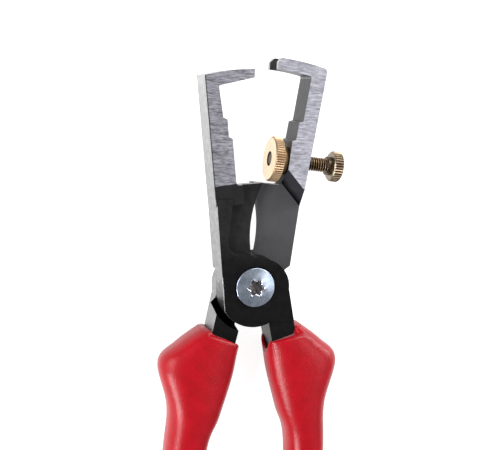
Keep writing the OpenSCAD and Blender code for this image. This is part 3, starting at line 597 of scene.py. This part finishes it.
STUD_TILT = math.radians(4.847)
STUD_ROOT = Vector((7.971, 34.878, LAP_HEIGHT)) * MM
STUD_TIP = -4.2
STUD_END = 15.6
STUD_RADIUS = 2.0
THREAD_PITCH = 0.7
THREAD_DEPTH = 0.42
THREAD_FLAT, THREAD_FLANK = 0.18, 0.64
TIP_BEVEL = 0.5
SHADE_ROOT, SHADE_CREST = 1.62, 1.98
BRASS_GRAIN = 0.012 * MM
along_stud = Vector((math.cos(STUD_TILT), -math.sin(STUD_TILT), 0.0))
up_stud = Vector((0.0, 0.0, 1.0))
side_stud = up_stud.cross(along_stud)
stud_frame = Matrix((side_stud, up_stud, along_stud)).transposed().to_4x4()
stud_frame.translation = STUD_ROOT


def threaded_rod(name, tip, end, radius, pitch, depth, columns=48, steps=12):
    """A cut thread with flat crests and roots, bevelled at the tip, closed at both ends."""
    work = bmesh.new()
    rings = []
    count = round((end - tip) / pitch * steps)
    for ring in range(count + 1):
        height = tip + (end - tip) * ring / count
        points = []
        for column in range(columns):
            phase = (height / pitch - column / columns) % 1.0
            flank = min(max((abs(phase - 0.5) * 2.0 - THREAD_FLAT) / THREAD_FLANK, 0.0), 1.0)
            reach = min(radius - depth * flank, radius - TIP_BEVEL + height - tip)
            turn = 2.0 * math.pi * column / columns
            spot = Vector((reach * math.cos(turn), reach * math.sin(turn), height))
            points.append(work.verts.new(spot * MM))
        rings.append(points)
    for low, high in zip(rings, rings[1:]):
        for column in range(columns):
            beside = (column + 1) % columns
            work.faces.new((low[column], low[beside], high[beside], high[column]))
    work.faces.new(reversed(rings[0]))
    work.faces.new(rings[-1])
    for face in work.faces:
        face.smooth = len(face.verts) == 4
    mesh = bpy.data.meshes.new(name)
    work.to_mesh(mesh)
    work.free()
    piece = bpy.data.objects.new(name, mesh)
    bpy.context.scene.collection.objects.link(piece)
    return piece


# Groove shade: how far a place lies out from the screw's axis, from the roots of a form to its crests, for
# painted shade in grooves.
groove_shading, entry, leave = new_group(
    "groove_shade",
    [("Place", "NodeSocketVector", None),
     ("Root", "NodeSocketFloat", 1.0),
     ("Crest", "NodeSocketFloat", 2.0)],
    [("Crest", "NodeSocketFloat")])
arm_of = add(groove_shading, "ShaderNodeVectorMath", {"operation": "SUBTRACT"})
put(groove_shading, arm_of.inputs[0], entry.outputs["Place"])
put(groove_shading, arm_of.inputs[1], STUD_ROOT)
lever = add(groove_shading, "ShaderNodeVectorMath", {"operation": "CROSS_PRODUCT"})
put(groove_shading, lever.inputs[0], arm_of.outputs[0])
put(groove_shading, lever.inputs[1], along_stud)
radius = add(groove_shading, "ShaderNodeVectorMath", {"operation": "LENGTH"})
put(groove_shading, radius.inputs[0], lever.outputs[0])
crest = add(groove_shading, "ShaderNodeMapRange", {"clamp": True}, Value=radius.outputs["Value"],
            From_Min=maths(groove_shading, "MULTIPLY", entry.outputs["Root"], MM),
            From_Max=maths(groove_shading, "MULTIPLY", entry.outputs["Crest"], MM))
put(groove_shading, leave.inputs["Crest"], crest.outputs[0])


def groove_shaded_brass(name, dark, light, rough, grain_size, blotch_size, root, crest_at, groove):
    """Brass with painted shade in its grooves, its own colour from a crest distance off the screw's axis
    outwards.
    """
    material = grained(name, dark, light, rough, BRASS_GRAIN, 1.0, grain_size, blotch_size)
    tree = material.node_tree
    shader = tree.nodes["Principled BSDF"]
    place = tree.nodes["Texture Coordinate"].outputs["Object"]
    brass = shader.inputs["Base Color"].links[0].from_socket
    high = place_group(tree, groove_shading, Place=place, Root=root, Crest=crest_at).outputs["Crest"]
    put(tree, shader.inputs["Base Color"], mix_colours(tree, high, (*groove, 1.0), brass))
    return material


thread_brass = groove_shaded_brass("thread_brass", (0.17, 0.11, 0.063), (0.4, 0.285, 0.18), rough=0.36,
                           grain_size=2200.0, blotch_size=700.0, root=SHADE_ROOT, crest_at=SHADE_CREST,
                           groove=(0.01, 0.007, 0.005))
stud = threaded_rod("adjusting_stud_thread", STUD_TIP, STUD_END, STUD_RADIUS, THREAD_PITCH, THREAD_DEPTH)
stud.data.transform(stud_frame)
# The stud's end faces are a dark copy of the brass: painted shade, as its tip lies down in the lock nut's
# hole.
stud_tip = grained("stud_tip", (0.015, 0.01, 0.006), (0.17, 0.12, 0.08), rough=0.4, depth=BRASS_GRAIN,
                   metallic=1.0, grain_size=2200.0, blotch_size=900.0)
stud.data.materials.append(thread_brass)
stud.data.materials.append(stud_tip)
for face in stud.data.polygons:
    if abs(face.normal.dot(along_stud)) > 0.95:
        face.material_index = 1
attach(stud, "screw_stud")
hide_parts("adjusting_stud")

# Adjusting knob
# The knurled head of the adjusting screw, turned from the same brass, with a plain collar under it.
# The grooves of its straight knurl are painted darker: painted shade.

KNOB_ROOT, KNOB_CREST, KNOB_COLLAR = 4.02, 4.3, 3.4
KNURL_ROUND = 0.05 * MM
KNURL_CREASE = math.radians(28.0)


def round_edges(piece):
    """Breaks the edges of a turned and knurled piece."""
    rounding = piece.modifiers.new("rounded_edges", "BEVEL")
    rounding.width = KNURL_ROUND
    rounding.segments = 2
    rounding.limit_method = "ANGLE"
    rounding.angle_limit = KNURL_CREASE
    rounding.harden_normals = True
    rounding.use_clamp_overlap = True


knob = skin_copy("adjusting_knob", "adjusting_knob_knurled")
knob_brass = groove_shaded_brass("knob_brass", (0.23, 0.165, 0.105), (0.55, 0.42, 0.29), rough=0.36,
                         grain_size=2200.0, blotch_size=700.0, root=KNOB_ROOT, crest_at=KNOB_CREST,
                         groove=(0.03, 0.018, 0.01))
# The collar and the knob's face towards the jaw are darker copies of the same brass: painted shade, the
# collar nearly black in the neck under the knob.
knob_collar = grained("knob_collar", (0.04, 0.028, 0.018), (0.11, 0.08, 0.05), rough=0.36,
                      depth=BRASS_GRAIN, metallic=1.0, grain_size=2200.0, blotch_size=700.0)
knob_shoulder = grained("knob_shoulder", (0.19, 0.15, 0.11), (0.4, 0.33, 0.25), rough=0.36,
                        depth=BRASS_GRAIN, metallic=1.0, grain_size=2200.0, blotch_size=700.0)
for material in (knob_brass, knob_collar, knob_shoulder):
    knob.data.materials.append(material)
for face in knob.data.polygons:
    corners = [knob.data.vertices[corner].co - STUD_ROOT for corner in face.vertices]
    reach = max(corner.cross(along_stud).length for corner in corners)
    if reach < KNOB_COLLAR * MM:
        face.material_index = 1
    elif face.normal.dot(along_stud) < -0.5:
        face.material_index = 2
round_edges(knob)
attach(knob, "screw_knob")
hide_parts("adjusting_knob")

# Lock nut
# A flat knurled nut of clean yellow brass, faced on the lathe, with a hub towards the jaw.
# It locks the adjusting screw once the depth is set.

NUT_ROOT, NUT_CREST = 5.97, 6.24
nut = skin_copy("lock_nut", "lock_nut_knurled")
# The nut's knurl grooves are painted darker too: painted shade.
nut_rim = groove_shaded_brass("nut_rim", (0.48, 0.33, 0.2), (0.7, 0.53, 0.35), rough=0.46, grain_size=1800.0,
                      blotch_size=300.0, root=NUT_ROOT, crest_at=NUT_CREST, groove=(0.3, 0.19, 0.1))
# The lathe-faced face is set much lighter than the knurled rim: painted light where the key light falls on
# it.
nut_face = grained("nut_face", (0.88, 0.68, 0.46), (1.0, 0.84, 0.62), rough=0.34, depth=0.01 * MM,
                   metallic=1.0, grain_size=1800.0, blotch_size=300.0)
nut.data.materials.append(nut_rim)
nut.data.materials.append(nut_face)
for face in nut.data.polygons:
    arm_of = face.center - STUD_ROOT
    if abs(face.normal.dot(along_stud)) > 0.9 and arm_of.cross(along_stud).length < NUT_ROOT * MM:
        face.material_index = 1
round_edges(nut)
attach(nut, "nut")
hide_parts("lock_nut")

# Right grip
# A thick sleeve of soft red vinyl, dip moulded and pushed over the tang, with a thumb guard.
# Its slanted mouth has rounded lips, and the inner lip is notched.

GRIP_COLUMNS = 144
GRIP_SPANS = 150
GRIP_POWER = 0.76
LIP_ROUND, LIP_SHARE = 1.1, 0.75
LIP_STEPS = 6
SOFT_PASSES, SOFT_FROM, SOFT_TO = 60, 2, 14
TONGUE = (36.0, 60.0)
INWARD = -0.3
MOUTH_SLOPE = 0.516
SLEEVE_FREE = 0.1
LIP_IN, LIP_OUT = Vector((4.5, 16.05)), Vector((12.78, 13.1))
NOTCH_RADIUS, NOTCH_CENTRE = 3.4, 15.15
CAP_LENGTH, CAP_STEPS = 7.0, 16
LEFT_DOWN, LEFT_SWELL = 1.1, 0.45
LEFT_SET, LEFT_TURN, LEFT_STRAIGHT = 0.6, math.radians(2.4), 32.0
TANG_HALF = (3.8, 4.8)
TANG_TOP, TANG_WAIST, TANG_END = (8.95, 12.95), (18.65, 47.0), (20.0, 97.2)
TANG_BEND, TANG_LEAN = 23.1, math.radians(12.5)
OUTER_EDGE = ((14.0, 10.5), (21.2, 15.5), (26.3, 21.1), (23.6, 34.05),
              (24.1, 47.0), (25.4, 75.8), (25.4, 90.2))
INNER_EDGE = ((4.5, 15.4), (5.167, 18.733), (6.5, 25.4), (9.85, 36.2),
              (13.2, 47.0), (14.133, 75.8), (14.6, 90.2))
HALF_DEPTH = (6.7, 6.967, 7.1, 7.1, 6.8, 6.5, 6.5)
BORE = ((23.2, 3.45, 4.8), (23.2, 3.45, 3.3), (47.0, 3.0, 3.3), (85.3, 2.3, 3.3))


def set_in(level, left):
    """How far in the left handle stands at a level below the pivot, and nothing for the right one."""
    return left * (LEFT_SET + min(level, LEFT_STRAIGHT) * math.tan(LEFT_TURN))


def tang_middle(level, left):
    """How far out the middle of a tang lies at a level below the pivot."""
    at_bend = TANG_TOP[0] + (TANG_BEND - TANG_TOP[1]) * math.tan(TANG_LEAN)
    if level <= TANG_BEND:
        middle = TANG_TOP[0] + (level - TANG_TOP[1]) * math.tan(TANG_LEAN)
    elif level <= TANG_WAIST[1]:
        middle = at_bend + (TANG_WAIST[0] - at_bend) * (level - TANG_BEND) / (TANG_WAIST[1] - TANG_BEND)
    else:
        below = level - TANG_WAIST[1]
        middle = TANG_WAIST[0] + (TANG_END[0] - TANG_WAIST[0]) * below / (TANG_END[1] - TANG_WAIST[1])
    return middle - set_in(level, left)


def smooth_through(points, t):
    """A smooth curve through the points, where t counts points from the first."""
    last = len(points) - 1
    start = min(int(t), last - 1)
    f = t - start
    a, b, c, d = (points[min(max(start + k, 0), last)] for k in (-1, 0, 1, 2))
    return b + 0.5 * f * ((c - a) + f * ((2 * a - 5 * b + 4 * c - d) + f * (3 * (b - c) + d - a)))


def power(value, exponent):
    return math.copysign(abs(value) ** exponent, value)


def ease(value, low, high):
    share = min(max((value - low) / (high - low), 0.0), 1.0)
    return share * share * (3.0 - 2.0 * share)


def rail(points, side, left):
    """One edge of a sleeve as (distance out, distance below the pivot), moved for the left handle."""
    return [Vector((x - set_in(level, left) + side * left * LEFT_SWELL, level + left * LEFT_DOWN))
            for x, level in points]


def sleeve_point(rails, t, turn):
    outer, inner = smooth_through(rails[0], t), smooth_through(rails[1], t)
    spot = (outer + inner) / 2.0 + (outer - inner) / 2.0 * power(math.cos(turn), GRIP_POWER)
    return Vector((spot.x, -spot.y, smooth_through(HALF_DEPTH, t) * power(math.sin(turn), GRIP_POWER)))


def cap_point(rails, rise, turn):
    outer, inner = rails[0][-1], rails[1][-1]
    middle = (outer + inner) / 2.0
    half = (outer - inner) / 2.0
    spot = middle + half * math.cos(rise) * power(math.cos(turn), GRIP_POWER)
    height = HALF_DEPTH[-1] * math.cos(rise) * power(math.sin(turn), GRIP_POWER)
    return Vector((spot.x, -spot.y - CAP_LENGTH * math.sin(rise), height))


def square_corner(turn):
    """Place on a square of half side 1, its corners at the odd eighths of a turn."""
    eighths = (math.degrees(turn) + 45.0) % 360.0 / 90.0
    share = 2.0 * (eighths % 1.0) - 1.0
    return ((1.0, share), (-share, 1.0), (-1.0, -share), (share, -1.0))[int(eighths) % 4]


def lip_level(x, height, inward, left):
    """Level of the lips round the mouth: a slanted line, and the round notch in the inner lip."""
    inwards = LIP_OUT.x - set_in(LIP_OUT.y, left) - x
    level = LIP_OUT.y + inwards * (LIP_IN.y - LIP_OUT.y) / (LIP_OUT.x - LIP_IN.x)
    if inward and abs(height) < NOTCH_RADIUS:
        level = max(level, NOTCH_CENTRE + math.sqrt(NOTCH_RADIUS ** 2 - height ** 2))
    return level


def sleeve_line(rails, turn, left):
    """One line down a sleeve: out of the blind bore, over the rounded lip, down the outside to the end."""
    tongue = 1.0 - ease(abs((math.degrees(turn) + 180.0) % 360.0 - 180.0), *TONGUE)
    first = sleeve_point(rails, 0.0, turn)
    goal = lip_level(first.x, first.z, math.cos(turn) < INWARD, left)
    goal = max(-first.y, goal + (-first.y - goal) * tongue)
    low, high = 0.0, 2.0
    for _ in range(24):
        start = (low + high) / 2.0
        low, high = (start, high) if -sleeve_point(rails, start, turn).y < goal else (low, start)
    edge = sleeve_point(rails, start, turn)
    across, up = square_corner(turn)
    level = goal
    for _ in range(6):
        x = tang_middle(level, left) + across * TANG_HALF[0]
        slant = lip_level(x, up * TANG_HALF[1], across < -0.99, left)
        plain = rails[0][0].y + (rails[0][0].x - x) * MOUTH_SLOPE
        level = max(plain, slant + (plain - slant) * tongue)
    mouth = Vector((tang_middle(level, left) + across * TANG_HALF[0], -level, up * TANG_HALF[1]))
    rise = (edge - sleeve_point(rails, start + 0.02, turn)).normalized()
    inwards = (mouth - edge).normalized()
    rounding = min(LIP_ROUND, LIP_SHARE * (mouth - edge).length)
    line = []
    for depth, half_width, half_depth in reversed(BORE):
        x = tang_middle(depth, left) + across * (half_width + SLEEVE_FREE)
        line.append(Vector((x, -depth, up * half_depth)))
    line.append(mouth)
    for step in range(LIP_STEPS + 1):
        bend = math.pi / 2.0 * (1.0 - step / LIP_STEPS)
        line.append(edge + (rise * (math.sin(bend) - 1.0) + inwards * (1.0 - math.cos(bend))) * rounding)
    turned = start + rounding / max((edge - sleeve_point(rails, start + 1.0, turn)).length, 1.0)
    for span in range(1, GRIP_SPANS + 1):
        line.append(sleeve_point(rails, turned + (len(OUTER_EDGE) - 1 - turned) * span / GRIP_SPANS, turn))
    for step in range(1, CAP_STEPS):
        line.append(cap_point(rails, math.pi / 2.0 * step / CAP_STEPS, turn))
    return line


def sleeve_grip(name, left):
    """A whole sleeve with softened shading, for the right handle (left = 0) or the left one (left = 1)."""
    rails = rail(OUTER_EDGE, 1, left), rail(INNER_EDGE, -1, left)
    turns = [2.0 * math.pi * column / GRIP_COLUMNS for column in range(GRIP_COLUMNS)]
    lines = [sleeve_line(rails, turn, left) for turn in turns]
    work = bmesh.new()
    rows = [[work.verts.new(line[index] * MM) for line in lines] for index in range(len(lines[0]))]
    for low, high in zip(rows, rows[1:]):
        for column in range(GRIP_COLUMNS):
            beside = (column + 1) % GRIP_COLUMNS
            work.faces.new((low[column], low[beside], high[beside], high[column]))
    work.faces.new(rows[0])
    work.faces.new(rows[-1])
    bmesh.ops.recalc_face_normals(work, faces=work.faces)
    for face in work.faces:
        face.smooth = True
    work.normal_update()
    facings = np.array([[vert.normal for vert in row] for row in rows])
    soft = facings.copy()
    for _ in range(SOFT_PASSES):
        soft[1:-1] += soft[:-2] + soft[2:] + np.roll(soft[1:-1], 1, 1) + np.roll(soft[1:-1], -1, 1)
        soft /= np.linalg.norm(soft, axis=2, keepdims=True)
    lip_row = len(BORE) + 1 + LIP_STEPS
    shares = [ease(row, lip_row + SOFT_FROM, lip_row + SOFT_TO) for row in range(len(rows))]
    facings += (soft - facings) * np.array(shares)[:, None, None]
    facings = facings.reshape(-1, 3) * ((-1.0, 1.0, 1.0) if left else (1.0, 1.0, 1.0))
    if left:
        bmesh.ops.scale(work, vec=(-1.0, 1.0, 1.0), verts=work.verts)
        bmesh.ops.reverse_faces(work, faces=work.faces)
    bmesh.ops.translate(work, vec=(0.0, 0.0, LAP_HEIGHT * MM), verts=work.verts)
    mesh = bpy.data.meshes.new(name)
    work.to_mesh(mesh)
    work.free()
    mesh.normals_split_custom_set_from_vertices(facings)
    piece = bpy.data.objects.new(name, mesh)
    bpy.context.scene.collection.objects.link(piece)
    return piece


red_vinyl = grained("red_vinyl", (0.26, 0.0005, 0.004), (0.34, 0.001, 0.008), rough=0.32, depth=0.16 * MM,
                    metallic=0.0, grain_size=2200.0, blotch_size=260.0, gloss=0.24)
vinyl = red_vinyl.node_tree.nodes["Principled BSDF"]
vinyl.inputs["Sheen Weight"].default_value = 0.08
vinyl.inputs["Sheen Roughness"].default_value = 0.35
right_grip = sleeve_grip("right_grip_sleeve", 0)
right_grip.data.materials.append(red_vinyl)
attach(right_grip, "front_half")
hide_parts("right_grip")

# Left grip
# The same sleeve on the rear arm's tang, mirrored and set a little further in.
# It is a little wider than the right one and is not pushed on quite as far.

left_grip = sleeve_grip("left_grip_sleeve", 1)
left_grip.data.materials.append(red_vinyl)
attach(left_grip, "rear_half")
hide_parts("left_grip")

# Floor
# A plain white sheet under the tool.
# It is white to the camera and in reflections, and keeps the tool's shadow.

FLOOR_HEIGHT = -2.62 * MM
FLOOR_HALF = 6.0
SHEET_GREY, SHEET_GLOW = 0.5, 0.86
WHITE = (1.0, 1.0, 1.0, 1.0)
floor_mesh = bpy.data.meshes.new("floor")
floor_corners = [(-FLOOR_HALF, -FLOOR_HALF, FLOOR_HEIGHT),
                 (FLOOR_HALF, -FLOOR_HALF, FLOOR_HEIGHT),
                 (FLOOR_HALF, FLOOR_HALF, FLOOR_HEIGHT),
                 (-FLOOR_HALF, FLOOR_HALF, FLOOR_HEIGHT)]
floor_mesh.from_pydata(floor_corners, [], [(0, 1, 2, 3)])
floor = bpy.data.objects.new("floor", floor_mesh)
bpy.context.scene.collection.objects.link(floor)
white_sheet, tree, shader, place = new_material("white_sheet")
shader.inputs["Base Color"].default_value = (SHEET_GREY, SHEET_GREY, SHEET_GREY, 1.0)
shader.inputs["Roughness"].default_value = 0.9
path = add(tree, "ShaderNodeLightPath")
seen = maths(tree, "MAXIMUM", path.outputs["Is Camera Ray"], path.outputs["Is Glossy Ray"])
put(tree, shader.inputs["Emission Color"], WHITE)
put(tree, shader.inputs["Emission Strength"], maths(tree, "MULTIPLY", seen, SHEET_GLOW))
floor.data.materials.append(white_sheet)

# Light and camera
# Soft boxes on the left and above the jaws, a card on the right, a panel over all and an even room.
# The camera stands where the photograph was taken from.

ROOM_LIGHT = 0.42
room = bpy.data.worlds.new("room")
bpy.context.scene.world = room
room.use_nodes = True
background = room.node_tree.nodes["Background"]
background.inputs["Color"].default_value = WHITE
background.inputs["Strength"].default_value = ROOM_LIGHT


def soft_box(name, spot, aim, width, height, watts):
    light = bpy.data.lights.new(name, "AREA")
    light.shape = "RECTANGLE"
    light.size = width
    light.size_y = height
    light.energy = watts
    lamp = bpy.data.objects.new(name, light)
    bpy.context.scene.collection.objects.link(lamp)
    lamp.location = spot
    lamp.rotation_euler = (Vector(aim) - Vector(spot)).to_track_quat("-Z", "Y").to_euler()


soft_box("soft_box_left", (-0.55, 0.1, 0.32), (0.0, 0.0, 0.0), 0.3, 0.4, 3.0)
soft_box("strip_box_left", (-0.5, -0.32, 0.27), (0.0, -0.02, 0.0), 0.1, 0.3, 4.0)
soft_box("soft_box_top", (0.3, 0.56, 0.36), (0.0, 0.0, 0.0), 0.5, 0.35, 4.0)
soft_box("card_right", (0.55, 0.28, 0.12), (0.0, -0.02, 0.0), 0.4, 0.2, 2.5)
soft_box("panel_over", (0.49, 0.0, 0.62), (0.0, 0.0, 0.0), 0.35, 0.35, 1.15)

camera_data = bpy.data.cameras.new("camera")
camera_data.sensor_fit = "HORIZONTAL"
camera_data.sensor_width = 36.0
camera_data.lens = 72.0
camera_data.clip_start = 0.01
camera = bpy.data.objects.new("camera", camera_data)
bpy.context.scene.collection.objects.link(camera)
facing = Matrix(((0.95882063, -0.01465085, -0.2836342),
                 (0.05328154, 0.99021622, 0.12896867),
                 (0.27896968, -0.13877029, 0.95022036))).to_4x4()
facing.translation = Vector((-79.799, 52.46, 269.15)) * MM
camera.matrix_world = facing
bpy.context.scene.camera = camera
bpy.context.scene.view_settings.view_transform = "Standard"
